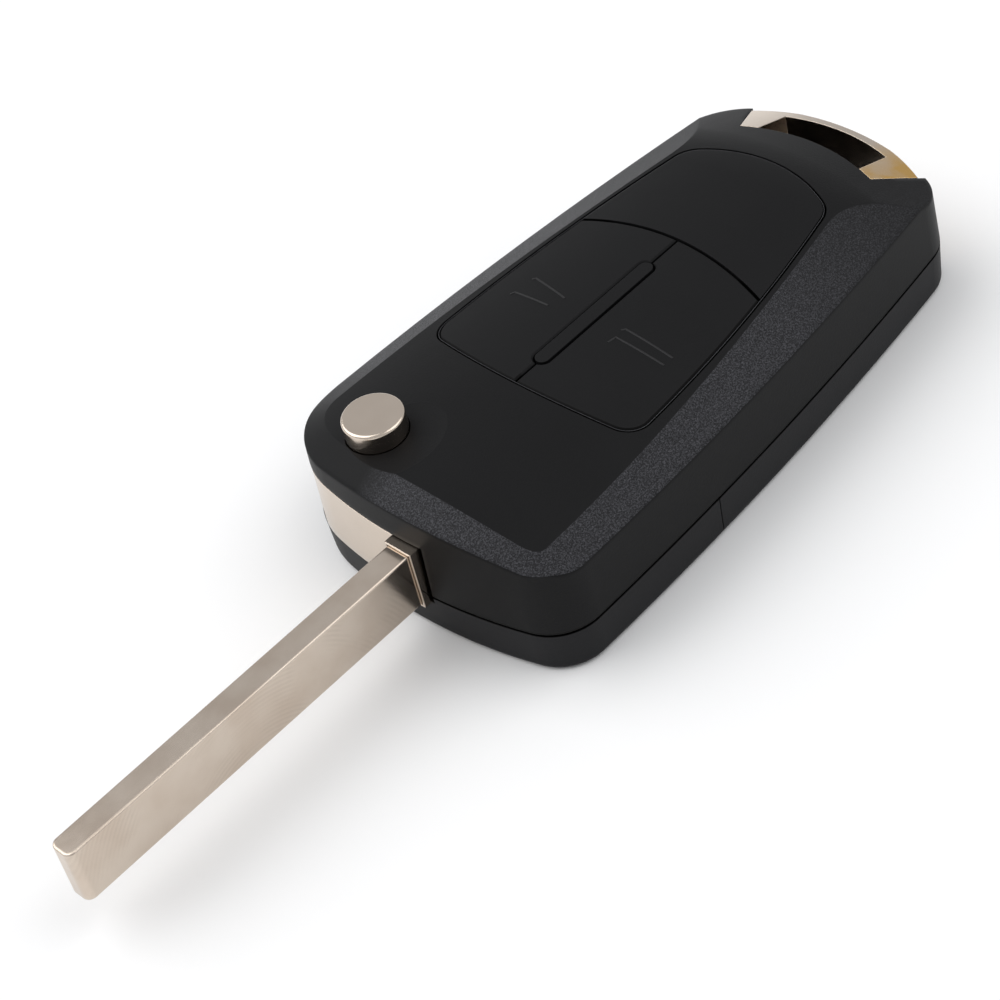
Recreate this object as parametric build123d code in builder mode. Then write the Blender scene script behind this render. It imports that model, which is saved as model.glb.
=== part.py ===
from build123d import *
from math import cos, radians, sin, sqrt, tan
import os

# Car remote with a flip blade, lying on its back with the blade out.
# Millimetres. +X runs towards the key ring, +Y towards the side that takes the folded blade, +Z up.
# The origin is the middle of the back, on the face that the key rests on.

# Casing, seen from above
CASE_WIDTH = 43.7
TAIL_WIDTH = 33.0
FRONT_RADIUS = 65.0
TAIL_RADIUS = 44.0
FRONT_CORNER = 6.2
HUB_CORNER = 12.5
TAIL_CORNER = 6.0

# Casing, seen from the side
CASE_HEIGHT = 18.6  # back to the ridge of the crowned top
PARTING_Z = 6.0
CROWN_RADIUS = 61.3
TAIL_FALL_LENGTH = 18.5  # length of the end that falls towards the key ring
TAIL_FALL_ANGLE = 19.0
TAIL_FALL_BEND = 25.0
BAND_Z = 13.9  # outer edge of the sloping bands along the sides
BAND_SLOPE = 30.0
FRONT_BAND_DEPTH = 3.9
FRONT_BAND_SLOPE = 27.5
FRONT_BAND_CROWN = 50.0
BAND_CORNER = 5.0
HUB_BAND_CORNER = 20.0
WALL_DRAFT = 2.5
BACK_EDGE = 0.9

# Walls and joints between casing pieces
WALL = 1.6
ROOF = 2.0
FLOOR = 1.4
REVEAL_HEIGHT = 0.35  # dark line along the parting
REVEAL_DEPTH = 0.5
SEAM_SETBACK = 28.8  # front of the casing to the battery cover's front edge
SEAM_GAP = 0.15
HOLLOW_GAP = 0.9  # from the inner carrier to the ends of the hollow
CHANNEL_GAP = 0.3  # from the inner carrier to the blade slot's wall

# Flip head and blade
PIVOT_SETBACK = 7.9
PIVOT_Y = 8.23
HUB_RADIUS = 8.5
HUB_BOTTOM = 4.9
HUB_HEIGHT = 8.2
HUB_ARM_BACK = 1.5  # arm's rear face, behind the pivot
HUB_BOSS_RADIUS = 5.0
HUB_BOSS_HEIGHT = 0.85
HUB_RIM = 0.35  # hub metal beside the blade
COLLAR_REACH = 0.9  # hub's collar round the blade, in front of the casing
BLADE_OFFSET = 10.42  # blade's middle plane from the pivot
BLADE_THICKNESS = 3.24
BLADE_HEIGHT = 7.5
BLADE_REACH = 57.7  # pivot to the tip
BLADE_TIP_CORNER = 1.0
BLADE_EDGE = 0.2
SOCKET_GAP = 0.1
SOCKET_DEPTH = 1.3
TANG_THICKNESS = 2.4
TANG_HEIGHT = 5.4
TANG_END = 1.2  # tang's end, in front of the pivot
TANG_GAP = 0.05
BLADE_PIN_RADIUS = 0.75
BLADE_PIN_BACK = 3.6
FOLD_ANGLE = 183.0

# Clearances
RUNNING = 0.08  # radial, shafts in bores
HUB_GAP = 0.1  # above and below the flip head
SWEEP_GAP = 0.4  # round the turning flip head
SLOT_GAP = 0.6  # beside and beyond the folded blade
SLOT_WALL = 1.2
SLOT_ROOF = 0.7
FIT = 0.1  # pieces set into each other

# Release button
RELEASE_RADIUS = 3.61
RELEASE_TOP = 20.5
RELEASE_EDGE = 0.35
RELEASE_CEILING = 13.2
RELEASE_BOTTOM = 9.2
RELEASE_SKIRT = 0.7
SPLINE_WIDTH = 1.4
SPLINE_HEIGHT = 1.8
SPLINE_DEPTH = 0.5
DISH_RADIUS = 39.6
DISH_DEPTH = 0.85
POST_RADIUS = 3.9
SPRING_RADIUS = 2.3
SPRING_WIRE = 0.26
SPRING_TURNS = 5

# Keypad, seen from above
PAD_SETBACK = 21.7
PAD_LENGTH = 43.8
TAIL_LENGTH = 13.9  # from the keypad's end to the casing's end
PAD_FRONT_WIDTH = 30.8
PAD_MIDDLE_WIDTH = 28.4
PAD_REAR_WIDTH = 21.2
PAD_MIDDLE_SETBACK = 41.1  # front of the casing to where the middle width is taken
PAD_FRONT_RADIUS = 60.0
PAD_REAR_RADIUS = 20.3
PAD_FRONT_CORNER = 2.9
PAD_REAR_CORNER = 3.2
REAR_ZONE_LENGTH = 16.4  # from the line across the keypad to its end
ZONE_RADIUS = 49.0
BUTTON_GAP = 0.25
PAD_GAP = 0.4
BUTTON_EDGE = 0.2
CAPSULE_WIDTH = 1.82
CAPSULE_SETBACK = 3.6
CAPSULE_REAR_SETBACK = 4.8  # from the capsule's end to the line across the keypad

# Inner stack, heights over the back
BATTERY_RADIUS = 10.0
BATTERY_HEIGHT = 3.2
BATTERY_SETBACK = 46.9
BATTERY_Y = -2.0
BATTERY_SEAT = 1.3
SEAT_RING_RADIUS = 7.0
CARRIER_MARGIN = 1.0
CARRIER_WALL = 1.2
DECK = 1.0
BOARD_Z = 12.0
BOARD_THICKNESS = 1.0
SWITCH_SIZE = 4.4
SWITCH_HEIGHT = 0.75
PLUNGER_RADIUS = 1.1
PLUNGER_HEIGHT = 0.2
MEMBRANE_THICKNESS = 0.6
DOME_RADIUS = 3.0
DOME_HEIGHT = 0.35
STACK_GAP = 0.05
CONTACT_THICKNESS = 0.3
CONTACT_WIDTH = 4.0
CONTACT_LENGTH = 6.0
BATTERY_STEP = 0.5
TRANSMITTER_SIZE = 5.0
TRANSMITTER_SETBACK = 5.5  # from the keypad's front to the chip's middle
CRYSTAL_LENGTH = 5.0
CRYSTAL_WIDTH = 3.2
CRYSTAL_CORNER = 0.5
CRYSTAL_SETBACK = 5.5  # from the line across the keypad to the crystal's middle

# Key ring end
RING_GAP = 4.9  # free width between the casing and the bar
BAR_RADIUS = 27.5
BAR_THICKNESS = 1.45
FOOT_HALF = 9.9
FOOT_END_HALF = 12.7
OPENING_WIDTH = 15.3
BAR_BOTTOM = 1.6
TENON_LENGTH = 2.2
TENON_WIDTH = 1.7
TENON_HEIGHT = 4.0
TENON_RISE = 1.0  # tenons' underside over the parting

# Transponder in the front corner
CHIP_LENGTH = 11.0
CHIP_WIDTH = 6.0
CHIP_HEIGHT = 3.0
CHIP_SETBACK = 10.9
CHIP_Y = -12.0

# Places worked out from the sizes above
CASE_LENGTH = PAD_SETBACK + PAD_LENGTH + TAIL_LENGTH
FRONT_X = -CASE_LENGTH / 2
REAR_X = CASE_LENGTH / 2
HALF_WIDTH = CASE_WIDTH / 2
HALF_TAIL = TAIL_WIDTH / 2
MARGIN = 10.0  # how far cutting shapes reach past the casing
OVERLAP = 1.0  # how far stock runs into or past what it meets


def sagitta(radius, half_chord):
    """Depth of an arc over half its chord."""
    return radius - sqrt(radius**2 - half_chord**2)


FRONT_CORNER_X = FRONT_X + sagitta(FRONT_RADIUS, HALF_WIDTH)
TAIL_CORNER_X = REAR_X - sagitta(TAIL_RADIUS, HALF_TAIL)
SEAM_X = FRONT_X + SEAM_SETBACK
PIVOT_X = FRONT_X + PIVOT_SETBACK
HUB_TOP = HUB_BOTTOM + HUB_HEIGHT
HUB_MIDDLE = HUB_BOTTOM + HUB_HEIGHT / 2
SLOT_BOTTOM = HUB_BOTTOM - HUB_GAP
SLOT_TOP = HUB_TOP + HUB_GAP
ARM_HALF = BLADE_OFFSET + BLADE_THICKNESS / 2 + HUB_RIM
BLADE_Y = PIVOT_Y - BLADE_OFFSET
BLADE_PIN_X = PIVOT_X - BLADE_PIN_BACK
SLOT_INNER = BLADE_OFFSET - BLADE_THICKNESS / 2 - SLOT_GAP
SLOT_LENGTH = BLADE_REACH + SLOT_GAP
PAD_FRONT_X = FRONT_X + PAD_SETBACK
PAD_REAR_X = PAD_FRONT_X + PAD_LENGTH
PAD_MIDDLE_X = FRONT_X + PAD_MIDDLE_SETBACK
NOSE_END = PAD_FRONT_X - CARRIER_MARGIN - HOLLOW_GAP
TAIL_START = PAD_REAR_X + CARRIER_MARGIN + HOLLOW_GAP
ZONE_X = PAD_REAR_X - REAR_ZONE_LENGTH
CAPSULE_LENGTH = ZONE_X - CAPSULE_REAR_SETBACK - PAD_FRONT_X - CAPSULE_SETBACK
CAPSULE_X = PAD_FRONT_X + CAPSULE_SETBACK + CAPSULE_LENGTH / 2
BATTERY_X = FRONT_X + BATTERY_SETBACK
BATTERY_Z = FLOOR + BATTERY_SEAT
DECK_Z = BATTERY_Z + BATTERY_HEIGHT + CONTACT_THICKNESS + 2 * STACK_GAP
BOARD_TOP = BOARD_Z + BOARD_THICKNESS
MEMBRANE_Z = BOARD_TOP + SWITCH_HEIGHT + PLUNGER_HEIGHT + STACK_GAP
MEMBRANE_TOP = MEMBRANE_Z + MEMBRANE_THICKNESS
BUTTON_BOTTOM = MEMBRANE_TOP + DOME_HEIGHT + STACK_GAP
CHIP_X = FRONT_X + CHIP_SETBACK
BAR_INNER_X = REAR_X - BAR_THICKNESS
RING_SEAT_X = BAR_INNER_X - RING_GAP
FOOT_X = RING_SEAT_X - sagitta(BAR_RADIUS, FOOT_HALF)
FOOT_END_X = REAR_X - sagitta(BAR_RADIUS, FOOT_END_HALF)
POST_TOP = HUB_BOTTOM + 1.1

AT_PIVOT = Plane(origin=(PIVOT_X, PIVOT_Y, 0))
# Along the folded blade: it turns clockwise, seen from above, from pointing along -X.
FOLDED = Plane(origin=(PIVOT_X, PIVOT_Y, 0), x_dir=(-cos(radians(FOLD_ANGLE)), sin(radians(FOLD_ANGLE)), 0))


# Shapes shared by several pieces


def casing_plan(level, inset=0.0):
    """The casing's outline from above, at a height, drawn in by an inset."""
    half = HALF_WIDTH - inset
    tail_half = HALF_TAIL - inset
    front_apex = FRONT_X + inset
    rear_apex = REAR_X - inset
    front_x = front_apex + sagitta(FRONT_RADIUS - inset, half)
    tail_x = rear_apex - sagitta(TAIL_RADIUS - inset, tail_half)
    with BuildSketch(Plane.XY.offset(level)) as plan:
        with BuildLine():
            front = ThreePointArc((front_x, half), (front_apex, 0), (front_x, -half))
            TangentArc(front @ 1, (tail_x, -tail_half), tangent=(1, 0))
            tail = ThreePointArc((tail_x, -tail_half), (rear_apex, 0), (tail_x, tail_half))
            TangentArc(front @ 0, tail @ 1, tangent=(1, 0))
        make_face()
        fillet(plan.vertices().group_by(Axis.X)[-1], TAIL_CORNER - inset)
        fillet(plan.vertices().sort_by(Axis.Y)[0], FRONT_CORNER - inset)
        fillet(plan.vertices().sort_by(Axis.Y)[-1], HUB_CORNER - inset)
    return plan.sketch


def drafted_form(low, high, inset=0.0):
    """Stock with the casing's outline, whose walls draw in going away from the parting."""
    with BuildPart() as form:
        extrude(casing_plan(low, inset), amount=high - low)
        walls = form.faces().filter_by(Axis.Z, reverse=True)
        parting = Plane.XY.offset(PARTING_Z)
        draft(walls, parting, -WALL_DRAFT if low < PARTING_Z else WALL_DRAFT)
    return form.part


def crown_section(place, top, radius, depth):
    """A cross-section with an arched top, on a plane across the casing."""
    reach = HALF_WIDTH + MARGIN / 2
    shoulder = top - sagitta(radius, reach)
    with BuildSketch(Plane(origin=(place, 0, 0), x_dir=(0, 1, 0), z_dir=(1, 0, 0))) as section:
        with BuildLine():
            arch = ThreePointArc((-reach, shoulder), (0, top), (reach, shoulder))
            Polyline(arch @ 1, (reach, top - depth), (-reach, top - depth), arch @ 0)
        make_face()
    return section.sketch


def crown_form(drop=0.0):
    """Everything under the crowned top, which falls away towards the key ring, lowered by a drop."""
    top = CASE_HEIGHT - drop
    start = FRONT_X - MARGIN
    bend = REAR_X - TAIL_FALL_LENGTH
    depth = (CASE_HEIGHT + TAIL_FALL_BEND) / 2
    with BuildPart() as form:
        extrude(crown_section(start, top, CROWN_RADIUS, depth), amount=bend - start)
        turning_axis = Axis((bend, 0, top - TAIL_FALL_BEND), (0, 1, 0))
        revolve(crown_section(bend, top, CROWN_RADIUS, depth), turning_axis, TAIL_FALL_ANGLE)
        falling_end = form.faces().filter_by(GeomType.PLANE).sort_by(Axis.X)[-1]
        extrude(falling_end, amount=TAIL_FALL_LENGTH + MARGIN)
    return form.part


def band_form(drop=0.0, inset=0.0):
    """Everything inside the sloping bands along the sides and across the front."""
    level = BAND_Z - drop
    narrow = inset + (BAND_Z - PARTING_Z) * tan(radians(WALL_DRAFT))
    wide = HALF_WIDTH - narrow
    tail = HALF_TAIL - narrow
    run = TAIL_CORNER_X - FRONT_CORNER_X
    side_radius = (run**2 + (wide - tail) ** 2) / (2 * (wide - tail))
    lead = wide - sagitta(side_radius, MARGIN)
    ahead = FRONT_CORNER_X - MARGIN
    start = FRONT_X - MARGIN
    band_start = FRONT_X + FRONT_BAND_DEPTH
    rise = tan(radians(FRONT_BAND_SLOPE))
    ramp_length = CASE_LENGTH + 2 * MARGIN
    climb = (CASE_HEIGHT - BAND_Z) / 2
    with BuildPart() as form:
        with BuildSketch(Plane.XY.offset(-MARGIN)):
            Rectangle(CASE_LENGTH + 2 * MARGIN, CASE_WIDTH + MARGIN)
        extrude(amount=level + MARGIN)
        with BuildSketch(Plane.XY.offset(level)):
            with BuildLine():
                right = ThreePointArc((ahead, -lead), (FRONT_CORNER_X, -wide), (TAIL_CORNER_X, -tail))
                left = ThreePointArc((ahead, lead), (FRONT_CORNER_X, wide), (TAIL_CORNER_X, tail))
                Polyline(right @ 1, right @ 1 + (right % 1) * MARGIN, left @ 1 + (left % 1) * MARGIN, left @ 1)
                Line(left @ 0, right @ 0)
            make_face()
        extrude(amount=CASE_HEIGHT - BAND_Z + OVERLAP, taper=90 - BAND_SLOPE)
        ramp_top = CASE_HEIGHT - drop - (band_start + inset - start) * rise
        ramp = crown_section(start, ramp_top, FRONT_BAND_CROWN, CASE_HEIGHT + ramp_length * rise)
        extrude(ramp, amount=ramp_length / cos(radians(FRONT_BAND_SLOPE)), dir=(1, 0, rise), mode=Mode.INTERSECT)
        for side, softness in ((-1, BAND_CORNER), (1, HUB_BAND_CORNER)):
            curves = form.edges().filter_by(GeomType.BSPLINE)
            creases = curves.filter_by(lambda edge: abs((edge @ 0).Z - (edge @ 1).Z) > climb)
            fillet(creases.filter_by(lambda edge: edge.center().Y * side > 0), softness)
    return form.part


def rectangle(plane, low, high):
    """A rectangle between two opposite corners on a plane."""
    with BuildSketch(plane) as sketch:
        with Locations(((low[0] + high[0]) / 2, (low[1] + high[1]) / 2)):
            Rectangle(high[0] - low[0], high[1] - low[1])
    return sketch.sketch


def pad_plan(level, grow=0.0):
    """The keypad's outline from above, at a height, let out by a margin."""
    front_half = PAD_FRONT_WIDTH / 2 + grow
    middle_half = PAD_MIDDLE_WIDTH / 2 + grow
    rear_half = PAD_REAR_WIDTH / 2 + grow
    front_apex = PAD_FRONT_X - grow
    rear_apex = PAD_REAR_X + grow
    front_x = front_apex + sagitta(PAD_FRONT_RADIUS + grow, front_half)
    rear_x = rear_apex - sagitta(PAD_REAR_RADIUS + grow, rear_half)
    with BuildSketch(Plane.XY.offset(level)) as plan:
        with BuildLine():
            front = ThreePointArc((front_x, front_half), (front_apex, 0), (front_x, -front_half))
            ThreePointArc(front @ 1, (PAD_MIDDLE_X, -middle_half), (rear_x, -rear_half))
            rear = ThreePointArc((rear_x, -rear_half), (rear_apex, 0), (rear_x, rear_half))
            ThreePointArc(rear @ 1, (PAD_MIDDLE_X, middle_half), front @ 0)
        make_face()
        fillet(plan.vertices().group_by(Axis.X)[0], PAD_FRONT_CORNER + grow)
        fillet(plan.vertices().group_by(Axis.X)[-1], PAD_REAR_CORNER + grow)
    return plan.sketch


def rear_zone(level, shift):
    """The keypad's part behind the curved line across it, with the line moved by a shift."""
    reach = PAD_FRONT_WIDTH
    line_end = ZONE_X + shift - sagitta(ZONE_RADIUS, reach)
    with BuildSketch(Plane.XY.offset(level)) as plan:
        with BuildLine():
            line = ThreePointArc((line_end, reach), (ZONE_X + shift, 0), (line_end, -reach))
            Polyline(line @ 1, (REAR_X, -reach), (REAR_X, reach), line @ 0)
        make_face()
    return plan.sketch


def capsule_plan(level, grow=0.0):
    """The round-ended bar between the two front buttons, let out by a margin."""
    with BuildSketch(Plane.XY.offset(level)) as plan:
        with Locations((CAPSULE_X, 0)):
            SlotOverall(CAPSULE_LENGTH + 2 * grow, CAPSULE_WIDTH + 2 * grow)
    return plan.sketch


def module_plan(level, grow=0.0):
    """Outline of the inner carrier and its board: like the keypad, and clear of the blade slot's wall."""
    wall = SLOT_INNER - SLOT_WALL - CHANNEL_GAP - CARRIER_MARGIN + grow
    with BuildSketch(Plane.XY.offset(level)) as plan:
        add(pad_plan(0, grow))
        add(rectangle(FOLDED, (-CASE_LENGTH, wall), (2 * CASE_LENGTH, wall + CASE_WIDTH)), mode=Mode.SUBTRACT)
    return plan.sketch


def ring_plan(level, gap=0.0):
    """Where the ring bar and the opening before it take the casing's place, drawn in by a gap."""
    far_x = REAR_X + MARGIN / 2
    flare = (FOOT_END_HALF - FOOT_HALF) / (FOOT_END_X - FOOT_X)
    far_half = FOOT_HALF + flare * (far_x - FOOT_X)
    with BuildSketch(Plane.XY.offset(level)) as plan:
        with BuildLine():
            seat = ThreePointArc((FOOT_X, FOOT_HALF), (RING_SEAT_X, 0), (FOOT_X, -FOOT_HALF))
            Polyline(seat @ 1, (far_x, -far_half), (far_x, far_half), seat @ 0)
        make_face()
        if gap:
            offset(amount=-gap, mode=Mode.REPLACE)
    return plan.sketch


def opening_plan(level):
    """The key ring opening between the casing's end and the bar."""
    half = OPENING_WIDTH / 2
    bar_end = BAR_INNER_X - sagitta(BAR_RADIUS, half)
    behind = FOOT_X - OVERLAP
    with BuildSketch(Plane.XY.offset(level)) as plan:
        with BuildLine():
            edge = ThreePointArc((bar_end, -half), (BAR_INNER_X, 0), (bar_end, half))
            Polyline(edge @ 1, (behind, half), (behind, -half), edge @ 0)
        make_face()
    return plan.sketch


def flip_space(level):
    """The room that the flip head and the blade need, from the blade being out to it being folded."""
    round_head = HUB_RADIUS + SWEEP_GAP
    arm = ARM_HALF + SWEEP_GAP
    back = HUB_ARM_BACK + SWEEP_GAP
    corner = sqrt((PIVOT_SETBACK + COLLAR_REACH) ** 2 + ARM_HALF**2) + SWEEP_GAP
    outside = CASE_WIDTH
    with BuildSketch(Plane.XY.offset(level)) as plan:
        with Locations((PIVOT_X, PIVOT_Y)):
            Circle(corner)
        add(rectangle(AT_PIVOT, (-corner, -arm), (0, corner)), mode=Mode.INTERSECT)
        with Locations((PIVOT_X, PIVOT_Y)):
            Circle(round_head)
        add(rectangle(AT_PIVOT, (-outside, -arm), (back, 0)))
        add(rectangle(FOLDED, (-back, 0), (PIVOT_SETBACK + SWEEP_GAP, outside)))
        add(rectangle(FOLDED, (0, SLOT_INNER), (SLOT_LENGTH, outside)))
    return plan.sketch


def channel_block(low, high):
    """Solid stock for the wall, roof and floor round the blade slot."""
    inner = SLOT_INNER - SLOT_WALL
    with BuildPart() as block:
        stock = rectangle(FOLDED.offset(low), (0, inner), (SLOT_LENGTH + SLOT_WALL, CASE_WIDTH))
        extrude(stock, amount=high - low)
    return block.part


def between(low_x, high_x):
    """A slab across the whole casing between two places along it."""
    with BuildPart() as slab:
        ground = rectangle(Plane.XY.offset(-MARGIN), (low_x, -CASE_WIDTH), (high_x, CASE_WIDTH))
        extrude(ground, amount=CASE_HEIGHT + 2 * MARGIN)
    return slab.part


# Outer form of the casing

crown = crown_form()
casing_bands = band_form()

with BuildPart() as upper_form:
    add(drafted_form(PARTING_Z, CASE_HEIGHT + OVERLAP))
    add(crown, mode=Mode.INTERSECT)
    add(casing_bands, mode=Mode.INTERSECT)

with BuildPart() as lower_form:
    add(drafted_form(0, PARTING_Z))
    fillet(lower_form.faces().sort_by(Axis.Z)[0].edges(), BACK_EDGE)

# Its rim is set in, which leaves a dark line along the parting.
rim_z = PARTING_Z - REVEAL_HEIGHT
with BuildPart() as rimmed_form:
    add(lower_form.part)
    extrude(casing_plan(rim_z), amount=REVEAL_HEIGHT, mode=Mode.SUBTRACT)
    extrude(casing_plan(rim_z, REVEAL_DEPTH), amount=REVEAL_HEIGHT)

# Hollows of the two casing halves

with BuildPart() as upper_hollow:
    add(drafted_form(PARTING_Z, CASE_HEIGHT, WALL))
    add(crown_form(ROOF), mode=Mode.INTERSECT)
    add(band_form(ROOF, WALL), mode=Mode.INTERSECT)
    add(between(NOSE_END, TAIL_START), mode=Mode.INTERSECT)
    add(channel_block(PARTING_Z, SLOT_TOP + SLOT_ROOF), mode=Mode.SUBTRACT)

lower_inset = WALL + PARTING_Z * tan(radians(WALL_DRAFT))
with BuildPart() as lower_hollow:
    extrude(casing_plan(FLOOR, lower_inset), amount=PARTING_Z - FLOOR)
    add(between(NOSE_END, TAIL_START), mode=Mode.INTERSECT)
    add(channel_block(0, PARTING_Z), mode=Mode.SUBTRACT)

with BuildPart() as flip_room:
    extrude(flip_space(SLOT_BOTTOM), amount=SLOT_TOP - SLOT_BOTTOM)

with BuildPart() as ring_room:
    extrude(ring_plan(-OVERLAP), amount=CASE_HEIGHT + 2 * OVERLAP)

# Ring bar: its two feet plug into the casing with a tenon each

foot_middle = (OPENING_WIDTH / 2 + FOOT_HALF) / 2
tenon_z = PARTING_Z + TENON_RISE


def tenons(gap):
    """The two tenons of the ring bar's feet, let out by a gap."""
    half = TENON_WIDTH / 2 + gap
    with BuildPart() as pair:
        for side in (-1, 1):
            low = (FOOT_X - TENON_LENGTH - gap, side * foot_middle - half)
            high = (FOOT_X + OVERLAP, side * foot_middle + half)
            extrude(rectangle(Plane.XY.offset(tenon_z - gap), low, high), amount=TENON_HEIGHT + 2 * gap)
    return pair.part


with BuildPart() as key_ring_bar:
    add(upper_form.part)
    add(lower_form.part)
    extrude(ring_plan(BAR_BOTTOM, FIT), amount=CASE_HEIGHT, mode=Mode.INTERSECT)
    with BuildSketch() as outer_arc:
        with Locations((REAR_X - BAR_RADIUS, 0)):
            Circle(BAR_RADIUS)
    extrude(amount=CASE_HEIGHT, mode=Mode.INTERSECT)
    extrude(opening_plan(0), amount=CASE_HEIGHT, mode=Mode.SUBTRACT)
    add(tenons(0))

# Upper casing

with BuildPart() as upper_shell:
    add(upper_form.part)
    add(upper_hollow.part, mode=Mode.SUBTRACT)
    add(flip_room.part, mode=Mode.SUBTRACT)
    add(ring_room.part, mode=Mode.SUBTRACT)
    add(tenons(FIT / 2), mode=Mode.SUBTRACT)
    extrude(pad_plan(BOARD_TOP, PAD_GAP), amount=CASE_HEIGHT, mode=Mode.SUBTRACT)
    with Locations((PIVOT_X, PIVOT_Y, SLOT_TOP)):
        Cylinder(
            HUB_BOSS_RADIUS + RUNNING,
            HUB_BOSS_HEIGHT,
            align=(Align.CENTER, Align.CENTER, Align.MIN),
            mode=Mode.SUBTRACT,
        )
    with Locations((PIVOT_X, PIVOT_Y, CASE_HEIGHT)):
        Hole(RELEASE_RADIUS + FIT, depth=CASE_HEIGHT - SLOT_TOP)
    with Locations((PIVOT_X, PIVOT_Y, CASE_HEIGHT - DISH_DEPTH + DISH_RADIUS)):
        Sphere(DISH_RADIUS, mode=Mode.SUBTRACT)
    chip_pocket = rectangle(
        Plane.XY.offset(PARTING_Z),
        (CHIP_X - CHIP_LENGTH / 2 - FIT, CHIP_Y - CHIP_WIDTH / 2 - FIT),
        (CHIP_X + CHIP_LENGTH / 2 + FIT, CHIP_Y + CHIP_WIDTH / 2 + FIT),
    )
    extrude(chip_pocket, amount=CHIP_HEIGHT + FIT, mode=Mode.SUBTRACT)

# Lower casing in front, with the post that the flip head turns on

with BuildPart() as lower_shell:
    add(rimmed_form.part)
    add(between(FRONT_X - MARGIN, SEAM_X - SEAM_GAP / 2), mode=Mode.INTERSECT)
    add(lower_hollow.part, mode=Mode.SUBTRACT)
    add(flip_room.part, mode=Mode.SUBTRACT)
    with Locations((PIVOT_X, PIVOT_Y, FLOOR)):
        Cylinder(POST_RADIUS, POST_TOP - FLOOR, align=(Align.CENTER, Align.CENTER, Align.MIN))

# Battery cover, with a ring that the battery rests on

with BuildPart() as battery_cover:
    add(rimmed_form.part)
    add(between(SEAM_X + SEAM_GAP / 2, REAR_X + MARGIN), mode=Mode.INTERSECT)
    add(lower_hollow.part, mode=Mode.SUBTRACT)
    add(flip_room.part, mode=Mode.SUBTRACT)
    add(ring_room.part, mode=Mode.SUBTRACT)
    with BuildSketch(Plane.XY.offset(FLOOR)) as seat_ring:
        with Locations((BATTERY_X, BATTERY_Y)):
            Circle(SEAT_RING_RADIUS)
            Circle(SEAT_RING_RADIUS - CARRIER_WALL, mode=Mode.SUBTRACT)
    extrude(amount=BATTERY_SEAT - STACK_GAP)

# Flip head

spline_reach = RELEASE_RADIUS + SPLINE_DEPTH

with BuildPart() as blade_hub:
    add(drafted_form(PARTING_Z, HUB_TOP))
    add(drafted_form(HUB_BOTTOM, PARTING_Z))
    with BuildSketch(Plane.XY.offset(HUB_BOTTOM)) as hub_plan:
        with Locations((PIVOT_X, PIVOT_Y)):
            Circle(HUB_RADIUS)
        add(rectangle(AT_PIVOT, (-MARGIN, -ARM_HALF), (HUB_ARM_BACK, 0)))
    extrude(amount=HUB_HEIGHT, mode=Mode.INTERSECT)
    with Locations((FRONT_X - COLLAR_REACH, BLADE_Y, HUB_MIDDLE)):
        Box(
            COLLAR_REACH + SOCKET_DEPTH,
            BLADE_THICKNESS + 2 * HUB_RIM,
            HUB_HEIGHT,
            align=(Align.MIN, Align.CENTER, Align.CENTER),
        )
    with Locations((PIVOT_X, PIVOT_Y, HUB_TOP)):
        Cylinder(HUB_BOSS_RADIUS, HUB_BOSS_HEIGHT, align=(Align.CENTER, Align.CENTER, Align.MIN))
    with Locations((PIVOT_X, PIVOT_Y, HUB_TOP + HUB_BOSS_HEIGHT)):
        Hole(RELEASE_RADIUS + RUNNING)
    with Locations((PIVOT_X, PIVOT_Y, HUB_BOTTOM)):
        Cylinder(
            POST_RADIUS + RUNNING,
            POST_TOP + HUB_GAP - HUB_BOTTOM,
            align=(Align.CENTER, Align.CENTER, Align.MIN),
            mode=Mode.SUBTRACT,
        )
    keyway = rectangle(
        AT_PIVOT.offset(HUB_BOTTOM),
        (-spline_reach - FIT, -SPLINE_WIDTH / 2 - FIT),
        (spline_reach + FIT, SPLINE_WIDTH / 2 + FIT),
    )
    extrude(keyway, amount=RELEASE_BOTTOM + SPLINE_HEIGHT + FIT - HUB_BOTTOM, mode=Mode.SUBTRACT)
    with Locations((FRONT_X, BLADE_Y, HUB_MIDDLE)):
        Box(
            2 * SOCKET_DEPTH,
            BLADE_THICKNESS + 2 * SOCKET_GAP,
            BLADE_HEIGHT + 2 * SOCKET_GAP,
            mode=Mode.SUBTRACT,
        )
    with Locations((PIVOT_X - TANG_END + TANG_GAP, BLADE_Y, HUB_MIDDLE)):
        Box(
            PIVOT_SETBACK,
            TANG_THICKNESS + 2 * TANG_GAP,
            TANG_HEIGHT + 2 * TANG_GAP,
            align=(Align.MAX, Align.CENTER, Align.CENTER),
            mode=Mode.SUBTRACT,
        )
    with Locations((BLADE_PIN_X, BLADE_Y, HUB_TOP)):
        Hole(BLADE_PIN_RADIUS + TANG_GAP)

# Blade: a flat bar on edge, uncut, with a tang in the flip head

tip_x = PIVOT_X - BLADE_REACH
shoulder_x = FRONT_X + SOCKET_DEPTH - TANG_GAP

with BuildPart() as key_blade:
    with Locations((tip_x, BLADE_Y, HUB_MIDDLE)):
        Box(shoulder_x - tip_x, BLADE_THICKNESS, BLADE_HEIGHT, align=(Align.MIN, Align.CENTER, Align.CENTER))
    tip = key_blade.faces().sort_by(Axis.X)[0]
    fillet(tip.edges().filter_by(Axis.Z), BLADE_TIP_CORNER)
    outside = key_blade.faces().filter_by(Axis.Z).edges() - key_blade.faces().sort_by(Axis.X)[-1].edges()
    fillet(outside, BLADE_EDGE)
    with Locations((shoulder_x, BLADE_Y, HUB_MIDDLE)):
        Box(
            PIVOT_X - TANG_END - shoulder_x,
            TANG_THICKNESS,
            TANG_HEIGHT,
            align=(Align.MIN, Align.CENTER, Align.CENTER),
        )
    with Locations((BLADE_PIN_X, BLADE_Y, HUB_TOP)):
        Hole(BLADE_PIN_RADIUS + TANG_GAP)

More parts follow.
